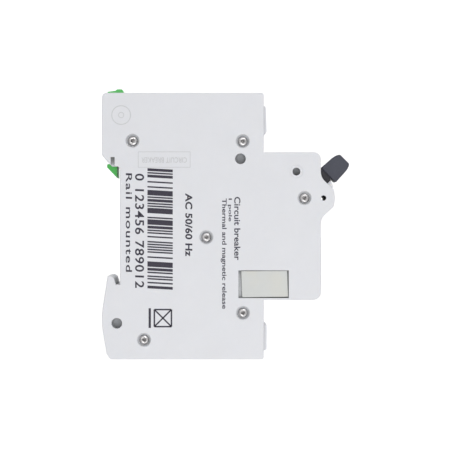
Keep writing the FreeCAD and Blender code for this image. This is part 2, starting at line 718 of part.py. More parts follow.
def closed_axes(u, v):
    """Along (u) and above (v) the closed arm, to the frame's axes."""
    angle = D.arm_open_angle + D.arm_swing
    turn = math.radians(angle.value)
    across = Size(math.cos(turn), "cos(%s * 1deg)" % angle.text)
    up = Size(math.sin(turn), "sin(%s * 1deg)" % angle.text)
    u, v = Size.of(u), Size.of(v)
    return (CARRIER[0] + u * across - v * up, CARRIER[1] + u * up + v * across)


def fixed_contact():
    body = new_body("fixed_contact")
    low = D.arm_half_height + D.contact_thick + D.contact_gap
    add(body, ((Size.of(0), D.contact_at), D.contact_round), low, low + D.contact_thick, "XY_Plane")
    return place(body, (0,) + CARRIER, (1, 0, 0), D.arm_open_angle + D.arm_swing)


def fixed_contact_bar():
    """A copper strip: contact seat, arc horn above the plates, and a tail up to the coil."""
    face = D.arm_half_height + D.contact_thick * 2 + D.contact_gap
    thick = 1.1
    seat_start = closed_axes(D.contact_at - 2.1, face)
    seat_end = closed_axes(D.contact_at + 3.4, face)
    back_end = closed_axes(D.contact_at + 3.8, face + thick)
    back_start = closed_axes(D.contact_at - 2.1, face + thick)
    horn_end = -D.plate_back_depth
    corners = [seat_start, seat_end, (horn_end, Size.of(-3.0)), (horn_end, Size.of(-1.9)),
               (Size.of(-13.0), Size.of(-1.55)), (Size.of(-13.0), Size.of(6.8)),
               (Size.of(-14.2), Size.of(6.8)), (Size.of(-14.2), Size.of(-1.3)), back_end, back_start]
    return prism("fixed_contact_bar", corners, -2.2, 2.2)


# ---------------------------------------------------------------- trips

def trip_lever():
    """Hub on the lever rivet; a striker arm, a latch nose, and a feeler beside the bimetal."""
    y, z = LEVER
    half = D.lever_half_width
    feeler_end = D.feeler_side + D.feeler_width
    body = prism("trip_lever", (LEVER, D.lever_hub), -half - 0.6, feeler_end)
    add(body, [(y, z + 0.1), (y + 11.0, z + 0.1), (y + 11.0, z + 1.4), (y, z + 2.4)], -half, half)
    add(body, [(y, z + 2.4), (y - 10.4, z + 5.4), (y - 11.0, z + 3.4), (y - 9.6, z + 3.4),
               (y - 9.0, z + 3.8), (y, z + 0.2)], -half, half)
    add(body, [(y - 1.9, z), (y + 0.9, z), (y + 0.9, z - 9.6), (y - 1.0, z - 9.6)],
        D.feeler_side, feeler_end)
    cut(body, (LEVER, D.hub_bore), -half - 0.6, feeler_end)
    return body


def coil_bobbin():
    low, high, rim = D.bobbin_low, D.bobbin_high, D.bobbin_flange_thick
    profile = [(D.bobbin_bore, low), (D.bobbin_flange, low), (D.bobbin_flange, low + rim),
               (D.bobbin_tube, low + rim), (D.bobbin_tube, high - rim),
               (D.bobbin_flange, high - rim), (D.bobbin_flange, high), (D.bobbin_bore, high)]
    return place(turned("coil_bobbin", profile), (0, -D.coil_depth, 0))


def coil():
    start = D.bobbin_low + D.bobbin_flange_thick + D.coil_wire + 0.1
    length = D.bobbin_high - D.bobbin_low - 2 * (D.bobbin_flange_thick + D.coil_wire + 0.1)
    body = spring("coil", D.coil_round, D.coil_wire, D.coil_pitch, length)
    return place(body, (0, -D.coil_depth, start))


def magnet_yoke():
    """A steel C round the bobbin, open at the back, with the strike pin's hole below."""
    front, back = -D.yoke_front_depth, -D.yoke_back_depth
    low, high = D.bobbin_low - 0.02, D.bobbin_high + 0.02
    thick = D.yoke_thick
    corners = [(back, low - thick), (front, low - thick), (front, high + thick),
               (back, high + thick), (back, high), (front + thick, high), (front + thick, low),
               (back, low)]
    body = prism("magnet_yoke", corners, -D.yoke_half_width, D.yoke_half_width)
    cut(body, ((Size.of(0), -D.coil_depth), D.strike_hole), low - thick - 1, low + 0.5, "XY_Plane")
    return body


def plunger():
    profile = [(0, D.plunger_low), (D.plunger_round, D.plunger_low),
               (D.plunger_round, D.plunger_high), (0, D.plunger_high)]
    return place(turned("plunger", profile), (0, -D.coil_depth, 0))


def strike_pin():
    profile = [(0, D.strike_low), (D.strike_round - 0.25, D.strike_low),
               (D.strike_round, D.strike_low + 0.25), (D.strike_round, D.plunger_low - 0.02),
               (0, D.plunger_low - 0.02)]
    return place(turned("strike_pin", profile), (0, -D.coil_depth, 0))


def bimetal_strip():
    front = -D.strip_depth
    return prism("bimetal_strip",
                 box_outline(front, front + D.strip_thick, D.strip_low, D.strip_high),
                 D.feeler_side, D.feeler_side + D.feeler_width)


def bimetal_bracket():
    front = -D.strip_depth + D.strip_thick
    return prism("bimetal_bracket", box_outline(front, front + 1.2, -D.bar_leg, -D.bar_leg + 5.4),
                 -D.bar_half_width, D.feeler_side + D.feeler_width)


def calibration_screw():
    profile = [(0, 0), (0.9, 0), (0.9, 2.2), (1.4, 2.2), (1.4, 3.2), (0, 3.2)]
    front = -D.strip_depth + D.strip_thick + 1.2
    return place(turned("calibration_screw", profile), (5.3, front, -22.6), (1, 0, 0), -90)


def flexible_braid():
    """The braid from the arm's pivot to the bimetal's bracket: straight runs with tangent arcs."""
    route = [(-38.3, 1.0), (-36.6, -6.4), (-33.2, -13.4), (-28.4, -19.2), (-24.1, -22.2)]
    side = -2.5
    radius = 1.0
    points = [FreeCAD.Vector(side, y, z) for y, z in route]
    edges = []
    start = points[0]
    for before, corner, after in zip(points, points[1:], points[2:]):
        run_in, run_out = (corner - before), (after - corner)
        reach = 0.45 * min(run_in.Length, run_out.Length)
        enter = corner - run_in.normalize() * reach
        leave = corner + run_out.normalize() * reach
        turn = run_in.getAngle(run_out)
        bisector = (run_out - run_in).normalize()
        arc_radius = reach / math.tan(turn / 2)
        sag = arc_radius / math.cos(turn / 2) - arc_radius
        edges.append(Part.LineSegment(start, enter).toShape())
        edges.append(Part.Arc(enter, corner + bisector * sag, leave).toShape())
        start = leave
    edges.append(Part.LineSegment(start, points[-1]).toShape())
    path = Part.Wire(edges)
    ring = Part.Wire(Part.makeCircle(radius, points[0], points[1] - points[0]))
    tube = path.makePipeShell([ring], True, True)
    expected = math.pi * radius ** 2 * path.Length
    if abs(tube.Volume / expected - 1) > 0.01:
        raise RuntimeError("the braid's tube has the wrong volume")
    feature = doc.addObject("Part::Feature", "Braid")
    feature.Label = "flexible_braid"
    feature.Shape = tube
    return feature


# ---------------------------------------------------------------- arc chamber

def arc_plates():
    """A stack of steel splitter plates, notched where the arc enters."""
    front, back, half = -D.plate_front_depth, -D.plate_back_depth, D.plate_half_width
    notch = 3.6
    outline = [(-half, back), (-half, front), (-1.6, front), (0, front + notch), (1.6, front),
               (half, front), (half, back)]
    plates = []
    for number in range(int(D.plate_count.value)):
        low = D.plate_low + D.plate_pitch * number
        plates.append(prism("arc_plate_%d" % number, outline, low, low + D.plate_thick, "XY_Plane"))
    return group("arc_plates", plates)


def arc_chute_sides():
    outline = box_outline(-D.plate_front_depth - 0.6, -D.plate_back_depth + 0.4, -21.6, -3.6)
    low, high = D.plate_half_width + 0.05, INNER_HALF - 0.1
    return group("arc_chute_sides", [prism("chute_side_right", outline, low, high),
                                     prism("chute_side_left", outline, -high, -low)])


def arc_runner():
    corners = [(-4.0, -22.9), (-20.0, -22.9), (-22.6, -17.6), (-21.8, -17.2), (-19.4, -22.0),
               (-4.0, -22.0)]
    return prism("arc_runner", corners, -3.8, 3.8)


# ---------------------------------------------------------------- terminals

def terminal_screw(label, sign):
    head, neck = D.screw_head_front - D.screw_head_back, D.screw_tip
    profile = [(0, 0), (D.screw_head, 0), (D.screw_head, head), (D.screw_shank, head),
               (D.screw_shank, D.screw_head_front - neck - 0.4),
               (D.screw_shank - 0.4, D.screw_head_front - neck), (0, D.screw_head_front - neck)]
    body = turned(label, profile)
    doc.recompute()
    for long_y in (False, True):
        long_half, short_half = 2.4, 0.45
        x, y = (short_half, long_half) if long_y else (long_half, short_half)
        cut(body, [(-x, -y), (x, -y), (x, y), (-x, y)], -0.5, 1.3, "XY_Plane")
    return place(body, (0, -D.screw_head_front, D.terminal_height * sign), (1, 0, 0), -90)


def terminal_cage(label, sign):
    """A square steel ring, open along Z for the wire, threaded on the screw."""
    middle = D.terminal_height * sign
    low, high = middle - D.cage_half_height, middle + D.cage_half_height
    half, wall = D.cage_half_width, D.cage_wall
    front, back = -D.cage_front, -D.cage_back
    body = prism(label, box_outline(front, back, low, high), -half, half)
    opening = [(wall - half, front + wall), (half - wall, front + wall),
               (half - wall, back - wall), (wall - half, back - wall)]
    cut(body, opening, low, high, "XY_Plane")
    cut(body, ((Size.of(0), middle), D.screw_shank + D.thread_gap),
        D.cage_front - D.cage_wall - 0.5, D.cage_front + 0.5, "XZ_Plane")
    return body


def terminal_bar(label, sign, tail):
    """A copper bar inside the cage, bent back towards the middle of the case."""
    front, thick = -D.bar_front, D.bar_thick
    leg = D.bar_leg
    outer = D.terminal_height + D.cage_half_height - 0.6
    corners = [(front, outer), (front, leg), (-Size.of(tail), leg), (-Size.of(tail), leg + 1.2),
               (front + thick, leg + 1.2), (front + thick, outer)]
    return prism(label, [(y, z * sign) for y, z in corners], -D.bar_half_width, D.bar_half_width)


# ---------------------------------------------------------------- rail clip and trim

def rail_clip():
    """A sliding tongue with a wedge nose above and a pull tab below, slotted for its spring."""
    front, back, half = D.clip_front, D.clip_back, D.clip_half_width
    neck = D.clip_tab + 1.25
    corners = [(front, D.clip_tip), (front, neck), (-0.75, neck), (-0.75, D.clip_tab + 0.45),
               (-0.35, D.clip_tab), (1.1, D.clip_tab), (1.7, D.clip_tab + 0.45),
               (4.0, D.clip_tab + 0.75), (4.15, neck), (back, neck), (back, D.clip_slope_top + 0.4),
               (4.2, D.clip_slope_top + 0.6), (4.2, D.clip_slope_top + 1.5)]
    body = prism("rail_clip", corners, -half, half)
    slot_half = D.clip_slot_half_width
    slot = [(-slot_half, D.clip_slot_low), (slot_half, D.clip_slot_low),
            (slot_half, D.clip_slot_high), (-slot_half, D.clip_slot_high)]
    cut(body, slot, -6.0, 0.0, "XZ_Plane")
    return body


def window_pad():
    """The pad sits a little askew in its window, so its corners step round by the skew."""
    low = HALF_WIDTH - D.window_recess + SKIN
    front, back = -D.window_high_depth + D.pad_gap, -D.window_low_depth - D.pad_side_gap
    bottom, top = D.window_low + D.pad_gap, D.window_high - D.pad_gap
    skew = D.pad_skew
    corners = [(front + skew, bottom - skew * 0.4), (back, bottom), (back - skew, top),
               (front, top - skew * 0.6)]
    return prism("window_pad", corners, low, low + D.pad_thick)


def front_label():
    front = -D.nose_depth
    outline = box_outline(front - D.label_thick, front - SKIN, D.label_low, D.label_high)
    return prism("front_label", outline, -D.label_half_width, D.label_half_width)


# ---------------------------------------------------------------- assembly and output

def all_nodes():
    sleeve = 0.03
    nodes = [case_half("case_right", 1), case_half("case_left", -1)]
    nodes.append(group("case_rivets", [rivet(name, spot) for name, spot in RIVETS.items()]))
    nodes += [toggle(), toggle_insert(), link()]
    nodes.append(place(spring("toggle_spring", 2.95, 0.3, 0.75, 1.5),
                       (-6.9,) + TOGGLE, (0, 1, 0), 90))
    pin_half = INNER_HALF - sleeve
    nodes.append(prism("carrier_pin", (CARRIER, D.pin_round), -pin_half, pin_half))
    nodes += [contact_carrier(), contact_arm(), moving_contact(), fixed_contact(),
              fixed_contact_bar()]
    nodes.append(place(spring("contact_spring", 1.3, 0.25, 1.0, 5.0), (-2.7, -34.3, 1.2)))
    nodes.append(trip_lever())
    nodes.append(place(spring("trip_spring", 2.95, 0.3, 0.75, 1.5), (-6.6,) + LEVER, (0, 1, 0), 90))
    nodes += [coil_bobbin(), coil(), magnet_yoke(), plunger(), strike_pin()]
    nodes.append(place(spring("plunger_spring", 1.6, 0.28, 0.95, 4.2),
                       (0, -D.coil_depth, D.bobbin_low + 0.35)))
    nodes += [bimetal_strip(), bimetal_bracket(), calibration_screw(), flexible_braid()]
    nodes += [arc_plates(), arc_chute_sides(), arc_runner()]
    nodes += [terminal_screw("line_screw", 1), terminal_screw("load_screw", -1)]
    nodes += [terminal_cage("line_cage", 1), terminal_cage("load_cage", -1)]
    nodes += [terminal_bar("line_bar", 1, 12.0), terminal_bar("load_bar", -1, 22.2)]
    nodes.append(rail_clip())
    nodes.append(place(spring("clip_spring", 1.0, 0.22, 1.1, 8.2), (0, 2.4, D.peg_high + 0.3)))
    nodes += [window_pad(), front_label()]
    return nodes


def main():
    nodes = all_nodes()
    doc.recompute()
    for thing in doc.Objects:
        if "Invalid" in thing.State or "Error" in thing.State:
            raise RuntimeError("%s (%s) failed: %s" % (thing.Name, thing.Label, thing.State))
    for node in nodes:
        if node.Shape.isNull() or not node.Shape.isValid():
            raise RuntimeError("%s has no valid shape" % node.Label)
    os.makedirs("parts", exist_ok=True)
    for node in nodes:
        node.Shape.exportStep("parts/%s.step" % node.Label)
        print("%-20s %8.1f mm3 %2d solid(s)" % (node.Label, node.Shape.Volume,
                                                len(node.Shape.Solids)))


main()
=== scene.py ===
"""Looks of the miniature circuit breaker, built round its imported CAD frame.

Everything is in metres in the frame's own axes: +Z up as installed, -Y the front with the toggle,
+X the printed side.  The camera looks at the printed side with the breaker upside down.
"""

import json
import math
import random

import bmesh
import bpy
from mathutils import Matrix, Vector


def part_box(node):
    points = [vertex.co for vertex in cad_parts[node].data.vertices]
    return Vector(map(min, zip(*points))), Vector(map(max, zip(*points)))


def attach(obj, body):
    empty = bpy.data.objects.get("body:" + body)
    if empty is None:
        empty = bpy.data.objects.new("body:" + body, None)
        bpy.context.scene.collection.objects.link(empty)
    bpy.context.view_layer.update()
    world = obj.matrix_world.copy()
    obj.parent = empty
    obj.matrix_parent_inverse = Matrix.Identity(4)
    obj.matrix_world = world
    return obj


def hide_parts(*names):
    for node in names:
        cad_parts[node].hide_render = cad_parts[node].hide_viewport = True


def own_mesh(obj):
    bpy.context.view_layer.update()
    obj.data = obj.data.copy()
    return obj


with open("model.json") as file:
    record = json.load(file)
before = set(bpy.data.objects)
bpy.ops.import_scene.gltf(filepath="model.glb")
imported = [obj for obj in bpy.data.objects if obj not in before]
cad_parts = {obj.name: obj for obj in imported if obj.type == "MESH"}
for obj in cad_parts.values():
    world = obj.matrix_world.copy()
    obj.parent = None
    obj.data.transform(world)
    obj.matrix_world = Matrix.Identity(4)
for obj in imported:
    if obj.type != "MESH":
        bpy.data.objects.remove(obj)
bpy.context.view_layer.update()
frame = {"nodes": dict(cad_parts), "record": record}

MM = 0.001

# places on the case: metres, or (y, z) pairs in millimetres
SIDE_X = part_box("case_right")[1].x
SHOULDER_Y = -43.83 * MM
RIVETS = [(-3.85, -26.0), (-37.4, -25.85), (-56.2, -8.55), (-26.3, 3.4), (-37.45, 26.45),
          (-7.35, 34.65)]
TOGGLE_PIVOT = RIVETS[2]
GAUGE_HOLE = (-53.75, -16.6)

# painted shade in the recesses: how much of it is taken back near a hole, and an even painted
# shade instead
SINK_ROUND = 2.2 * MM
HOLLOW_SHADE_STRENGTH = 0.95
SINK_RELIEF, SINK_PAINTED_SHADE = 0.95, 0.28
GAUGE_RELIEF, GAUGE_PAINTED_SHADE = 0.4, 0.0

# printed and moulded marks
INK_LIFT = 0.004 * MM
INK_THICK = 0.012 * MM
INK_SPREAD = 0.03
MARK_ROOT = -0.002 * MM
PRINT_LEAN = math.radians(2.0)
BAR_LEAN = math.radians(3.3)

# stage, lights and camera
STAGE_SIZE = 12.0
FLOOR_Z = -0.42
BACKDROP_X = -2.0
BACKDROP_GLOW = 0.5
WORLD_GLOW = 0.55
LIGHT_TARGET = (0, -0.03, 0)
KEY_PLACE, KEY_SIZE, KEY_POWER = (0.40, -0.20, -0.46), 0.30, 2.05
FILL_PLACE, FILL_SIZE, FILL_POWER = (0.58, -0.10, 0.30), 0.50, 1.65
CAMERA_LENS, CAMERA_SENSOR = 118.3, 36.0
CAMERA_REACH, CAMERA_Y, CAMERA_Z = 0.450, -0.0320, -0.00033


# ---------------------------------------------------------------- colour and node helpers

def screen_colour(red, green, blue):
    """An 8-bit screen colour as linear RGBA."""
    def linear(level):
        level /= 255
        return level / 12.92 if level <= 0.04045 else ((level + 0.055) / 1.055) ** 2.4
    return (linear(red), linear(green), linear(blue), 1.0)


class Surface:
    """A Principled material on the object's own coordinates, with helpers for its nodes."""

    def __init__(self, name, colour, roughness=0.5, metallic=0.0):
        self.material = bpy.data.materials.new(name)
        self.material.use_nodes = True
        self.material.diffuse_color = colour
        self.nodes = self.material.node_tree.nodes
        self.links = self.material.node_tree.links
        self.shader = self.nodes["Principled BSDF"]
        self.shader.inputs["Base Color"].default_value = colour
        self.shader.inputs["Roughness"].default_value = roughness
        self.shader.inputs["Metallic"].default_value = metallic
        self.coords = self.nodes.new("ShaderNodeTexCoord").outputs["Object"]
        self.bump_out = None

    def link(self, source, target):
        self.links.new(source, target)

    def stretched(self, factors):
        """The object's coordinates scaled along each axis, for brushed or drawn marks."""
        mapping = self.nodes.new("ShaderNodeMapping")
        mapping.inputs["Scale"].default_value = factors
        self.link(self.coords, mapping.inputs["Vector"])
        return mapping.outputs["Vector"]

    def noise(self, size, detail=2.0, rough=0.5, distortion=0.0, coords=None):
        """Noise whose features are about size metres across."""
        node = self.nodes.new("ShaderNodeTexNoise")
        node.inputs["Scale"].default_value = 1.0 / size
        node.inputs["Detail"].default_value = detail
        node.inputs["Roughness"].default_value = rough
        node.inputs["Distortion"].default_value = distortion
        self.link(coords or self.coords, node.inputs["Vector"])
        return node.outputs["Fac"]

    def cells(self, size):
        """Distance to the nearest of points scattered about size metres apart."""
        node = self.nodes.new("ShaderNodeTexVoronoi")
        node.inputs["Scale"].default_value = 1.0 / size
        self.link(self.coords, node.inputs["Vector"])
        return node.outputs["Distance"]

    def remap(self, value, low, high, to_low=0.0, to_high=1.0):
        node = self.nodes.new("ShaderNodeMapRange")
        node.inputs["From Min"].default_value = low
        node.inputs["From Max"].default_value = high
        node.inputs["To Min"].default_value = to_low
        node.inputs["To Max"].default_value = to_high
        self.link(value, node.inputs["Value"])
        return node.outputs["Result"]

    def math(self, operation, first, second):
        node = self.nodes.new("ShaderNodeMath")
        node.operation = operation
        for socket, value in zip(node.inputs, (first, second)):
            if isinstance(value, (int, float)):
                socket.default_value = value
            else:
                self.link(value, socket)
        return node.outputs["Value"]

    def mix(self, factor, first, second):
        node = self.nodes.new("ShaderNodeMix")
        node.data_type = "RGBA"
        self.link(factor, node.inputs["Factor"])
        for name, value in (("A", first), ("B", second)):
            socket = next(s for s in node.inputs if s.name == name and s.type == "RGBA")
            if isinstance(value, tuple):
                socket.default_value = value
            else:
                self.link(value, socket)
        return next(s for s in node.outputs if s.type == "RGBA")

    def colour(self, output):
        self.link(output, self.shader.inputs["Base Color"])

    def roughness(self, output):
        self.link(output, self.shader.inputs["Roughness"])

    def bump(self, height, distance, strength=1.0):
        """Stack a bump of the given height in metres on those already there."""
        node = self.nodes.new("ShaderNodeBump")
        node.inputs["Distance"].default_value = distance
        node.inputs["Strength"].default_value = strength
        self.link(height, node.inputs["Height"])
        if self.bump_out is not None:
            self.link(self.bump_out, node.inputs["Normal"])
        self.bump_out = node.outputs["Normal"]
        self.link(self.bump_out, self.shader.inputs["Normal"])

    def soften_edges(self, radius):
        """Round the shading normal over an edge; call it before the first bump."""
        node = self.nodes.new("ShaderNodeBevel")
        node.samples = 6
        node.inputs["Radius"].default_value = radius
        self.bump_out = node.outputs["Normal"]
        self.link(self.bump_out, self.shader.inputs["Normal"])
        return node.outputs["Normal"]

    def edge_mask(self, radius):
        """About 1 on a sharp edge and 0 on a flat face."""
        bevel = self.nodes.new("ShaderNodeBevel")
        bevel.samples = 6
        bevel.inputs["Radius"].default_value = radius
        geometry = self.nodes.new("ShaderNodeNewGeometry")
        dot = self.nodes.new("ShaderNodeVectorMath")
        dot.operation = "DOT_PRODUCT"
        self.link(bevel.outputs["Normal"], dot.inputs[0])
        self.link(geometry.outputs["Normal"], dot.inputs[1])
        return self.remap(dot.outputs["Value"], 0.995, 0.8)

    def painted_hollow_shade(self, reach, open_share, shut_share):
        """A mask for painted shade: 0 in the open, rising to 1 where walls within reach metres
        hide most of the sky.
        """
        node = self.nodes.new("ShaderNodeAmbientOcclusion")
        node.samples = 12
        node.inputs["Distance"].default_value = reach
        return self.remap(node.outputs["AO"], open_share, shut_share)

    def distance_from(self, place):
        """How far a point is from a line along X through place, a (y, z) pair in millimetres."""
        flat = self.nodes.new("ShaderNodeVectorMath")
        flat.operation = "MULTIPLY"
        self.link(self.coords, flat.inputs[0])
        flat.inputs[1].default_value = (0.0, 1.0, 1.0)
        away = self.nodes.new("ShaderNodeVectorMath")
        away.operation = "DISTANCE"
        self.link(flat.outputs["Vector"], away.inputs[0])
        away.inputs[1].default_value = (0.0, place[0] * MM, place[1] * MM)
        return away.outputs["Value"]

    def axis(self, letter):
        node = self.nodes.new("ShaderNodeSeparateXYZ")
        self.link(self.coords, node.inputs["Vector"])
        return node.outputs[letter]


def scaled(colour, factor):
    return tuple(min(1.0, c * factor) for c in colour[:3]) + (1.0,)


# ---------------------------------------------------------------- materials

def moulded_plastic(name, colour, roughness, grain=0.16 * MM, grain_height=0.012 * MM,
                    mottle=0.025, edge_highlight=1.06, soft=0.12 * MM, subsurface=0.0):
    """Spark-eroded moulding: fine grain, faint flow mottling, uneven sheen and a painted
    highlight along the edges.
    """
    surface = Surface(name, colour, roughness)
    surface.soften_edges(soft)
    clouds = surface.noise(9 * MM, detail=3.0)
    flow = surface.noise(1.6 * MM, detail=4.0, rough=0.6, distortion=0.6)
    blend = surface.math("ADD", surface.math("MULTIPLY", clouds, 0.6),
                         surface.math("MULTIPLY", flow, 0.4))
    tinted = surface.mix(surface.remap(blend, 0.35, 0.65), scaled(colour, 1 - mottle),
                         scaled(colour, 1 + mottle))
    # painted highlight: the colour goes lighter over sharp edges
    edges = surface.math("MULTIPLY", surface.edge_mask(0.2 * MM), 0.5)
    surface.colour(surface.mix(edges, tinted, scaled(colour, edge_highlight)))
    sheen = surface.noise(3.5 * MM, detail=4.0, rough=0.65)
    surface.roughness(surface.remap(sheen, 0.3, 0.7, roughness - 0.06, roughness + 0.06))
    surface.bump(surface.noise(grain, detail=2.0), grain_height)
    surface.bump(surface.noise(6 * MM, detail=1.0), 0.03 * MM, 0.6)
    if subsurface:
        surface.shader.inputs["Subsurface Weight"].default_value = subsurface
        surface.shader.inputs["Subsurface Scale"].default_value = 0.6 * MM
        surface.shader.inputs["Subsurface Radius"].default_value = (1.0, 0.8, 0.6)
    return surface


def case_plastic():
    """The cool light grey case, with its parting line, faint scuffs and dust specks, and painted
    shade in its recesses and rivet sinks.
    """
    colour = screen_colour(222, 223, 227)
    surface = moulded_plastic("case_plastic", colour, 0.5, mottle=0.012, edge_highlight=1.03,
                              subsurface=0.08)
    base = surface.shader.inputs["Base Color"].links[0].from_socket
    specks = surface.remap(surface.cells(2.3 * MM), 0.055, 0.03)
    patches = surface.remap(surface.noise(14 * MM, detail=2.0), 0.56, 0.64)
    dust = surface.math("MULTIPLY", surface.math("MULTIPLY", specks, patches), 0.35)
    dusty = surface.mix(dust, base, scaled(colour, 0.86))
    off_seam = surface.math("ABSOLUTE", surface.axis("X"), 0.0)
    seam = surface.remap(off_seam, 0.09 * MM, 0.03 * MM)
    seamed = surface.mix(surface.math("MULTIPLY", seam, 0.55), dusty, scaled(colour, 0.45))
    # painted shade: the colour goes towards dark grey in the recesses, with an even painted shade
    # in the rivet sinks
    holes = [(spot, SINK_RELIEF, SINK_PAINTED_SHADE) for spot in RIVETS]
    holes.append((GAUGE_HOLE, GAUGE_RELIEF, GAUGE_PAINTED_SHADE))
    strength, painted_hole_shade = HOLLOW_SHADE_STRENGTH, 0.0
    for spot, relief, shade in holes:
        near = surface.remap(surface.distance_from(spot), SINK_ROUND, 0.95 * SINK_ROUND)
        strength = surface.math("SUBTRACT", strength, surface.math("MULTIPLY", near, relief))
        painted_hole_shade = surface.math("ADD", painted_hole_shade, surface.math("MULTIPLY", near, shade))
    painted_hollow_shade = surface.math("MULTIPLY", surface.painted_hollow_shade(2.4 * MM, 0.62, 0.25), strength)
    shaded = surface.math("ADD", painted_hollow_shade, painted_hole_shade)
    surface.colour(surface.mix(shaded, seamed, screen_colour(142, 145, 144)))
    surface.bump(surface.remap(seam, 0.0, 1.0, 1.0, 0.0), 0.08 * MM)
    scuffs = surface.noise(0.5 * MM, detail=3.0, coords=surface.stretched((1.0, 0.12, 1.0)))
    surface.bump(surface.remap(scuffs, 0.62, 0.75), 0.006 * MM, 0.5)
    return surface.material


def pad_plastic():
    colour = screen_colour(206, 208, 206)
    surface = moulded_plastic("pad_plastic", colour, 0.42, grain=0.3 * MM,
                              grain_height=0.006 * MM, mottle=0.02, soft=0.15 * MM)
    base = surface.shader.inputs["Base Color"].links[0].from_socket
    warm = surface.remap(surface.noise(5 * MM, detail=1.0), 0.4, 0.62)
    surface.colour(surface.mix(surface.math("MULTIPLY", warm, 0.5), base,
                               screen_colour(210, 209, 201)))
    return surface.material


def toggle_plastic():
    """Charcoal toggle, with painted shade on the drum that turns in the case, so the finger cap
    shows a little paler.
    """
    colour = screen_colour(64, 66, 77)
    surface = moulded_plastic("toggle_plastic", colour, 0.52, grain=0.2 * MM,
                              grain_height=0.02 * MM, mottle=0.07, edge_highlight=1.5, soft=0.2 * MM)
    base = surface.shader.inputs["Base Color"].links[0].from_socket
    # painted shade: darker within about 10.2 mm of the pivot, over the drum
    away = surface.distance_from(TOGGLE_PIVOT)
    drum = surface.remap(away, 10.35 * MM, 10.2 * MM)
    surface.colour(surface.mix(surface.math("MULTIPLY", drum, 0.9), base,
                               screen_colour(42, 41, 47)))
    return surface.material


def clip_plastic():
    """Green clip: the pull tab is painted lighter than the slide, a painted highlight."""
    surface = moulded_plastic("clip_plastic", screen_colour(82, 190, 90), 0.36, mottle=0.05,
                              edge_highlight=1.35, soft=0.18 * MM, subsurface=0.12)
    base = surface.shader.inputs["Base Color"].links[0].from_socket
    # painted highlight: lighter below Z -40.4 mm, over the pull tab
    tab = surface.remap(surface.axis("Z"), -40.4 * MM, -41.0 * MM)
    surface.colour(surface.mix(tab, base, screen_colour(108, 212, 118)))
    return surface.material


def metal(name, colour, roughness, grain_axis=(1.0, 1.0, 1.0), tarnish=0.15,
          tarnish_colour=None):
    """Plated or rolled metal: directional marks, tarnish in patches, uneven polish and painted
    shade in its recesses.
    """
    surface = Surface(name, colour, roughness, 1.0)
    surface.soften_edges(0.06 * MM)
    patches = surface.remap(surface.noise(1.4 * MM, detail=5.0, rough=0.65), 0.42, 0.68)
    dull = tarnish_colour or scaled(colour, 0.6)
    tinted = surface.mix(surface.math("MULTIPLY", patches, tarnish), colour, dull)
    # painted shade: darker in the recesses, towards a dark tarnish colour
    surface.colour(surface.mix(surface.painted_hollow_shade(1.2 * MM, 0.3, 0.06), tinted, scaled(dull, 0.25)))
    marks = surface.noise(0.25 * MM, detail=3.0, coords=surface.stretched(grain_axis))
    surface.roughness(surface.remap(marks, 0.3, 0.7, roughness - 0.08, roughness + 0.12))
    surface.bump(marks, 0.006 * MM)
    surface.bump(surface.noise(0.7 * MM, detail=2.0), 0.02 * MM, 0.5)
    return surface.material


def braided_copper():
    """Fine strands crossing along the braid's length, with painted shade in the gaps between
    them.
    """
    surface = Surface("braid_copper", screen_colour(196, 122, 84), 0.42, 1.0)
    heights = []
    for lean in (1.0, -1.0):
        wave = surface.nodes.new("ShaderNodeTexWave")
        wave.inputs["Scale"].default_value = 1.0 / (2.2 * MM)
        wave.inputs["Distortion"].default_value = 0.4
        mapping = surface.nodes.new("ShaderNodeMapping")
        mapping.inputs["Rotation"].default_value = (lean * math.radians(50), 0, lean * 0.7)
        surface.link(surface.coords, mapping.inputs["Vector"])
        surface.link(mapping.outputs["Vector"], wave.inputs["Vector"])
        heights.append(wave.outputs["Fac"])
    weave = surface.math("MAXIMUM", heights[0], heights[1])
    # painted shade: dark in the gaps between strands, lighter on their crowns
    surface.colour(surface.mix(weave, screen_colour(92, 50, 34), screen_colour(206, 134, 94)))
    surface.bump(weave, 0.08 * MM)
    return surface.material


def fibre_board():
    colour = screen_colour(168, 140, 112)
    surface = Surface("fibre", colour, 0.8)
    strands = surface.noise(0.4 * MM, detail=5.0, coords=surface.stretched((1.0, 0.25, 1.6)))
    surface.colour(surface.mix(surface.remap(strands, 0.35, 0.65), scaled(colour, 0.75),
                               scaled(colour, 1.15)))
    surface.roughness(surface.remap(strands, 0.3, 0.7, 0.7, 0.9))
    surface.bump(strands, 0.03 * MM)
    return surface.material


def ink(name, colour, fade):
    """Pad-printed ink: slightly broken up, with paler pinholes where it is thin."""
    surface = Surface(name, colour, 0.55)
    thin = surface.noise(0.22 * MM, detail=4.0, rough=0.7)
    worn = surface.remap(thin, 0.52, 0.72)
    surface.colour(surface.mix(surface.math("MULTIPLY", worn, fade), colour,
                               screen_colour(150, 150, 160)))
    surface.roughness(surface.remap(thin, 0.3, 0.7, 0.45, 0.7))
    surface.bump(thin, 0.004 * MM)
    return surface.material


def label_film():
    colour = screen_colour(232, 233, 235)
    surface = Surface("label_film", colour, 0.35)
    fine = surface.noise(0.5 * MM, detail=3.0)
    surface.colour(surface.mix(surface.remap(fine, 0.3, 0.7), scaled(colour, 0.97), colour))
    surface.roughness(surface.remap(fine, 0.3, 0.7, 0.3, 0.42))
    surface.bump(surface.noise(4 * MM, detail=1.0), 0.02 * MM)
    return surface.material


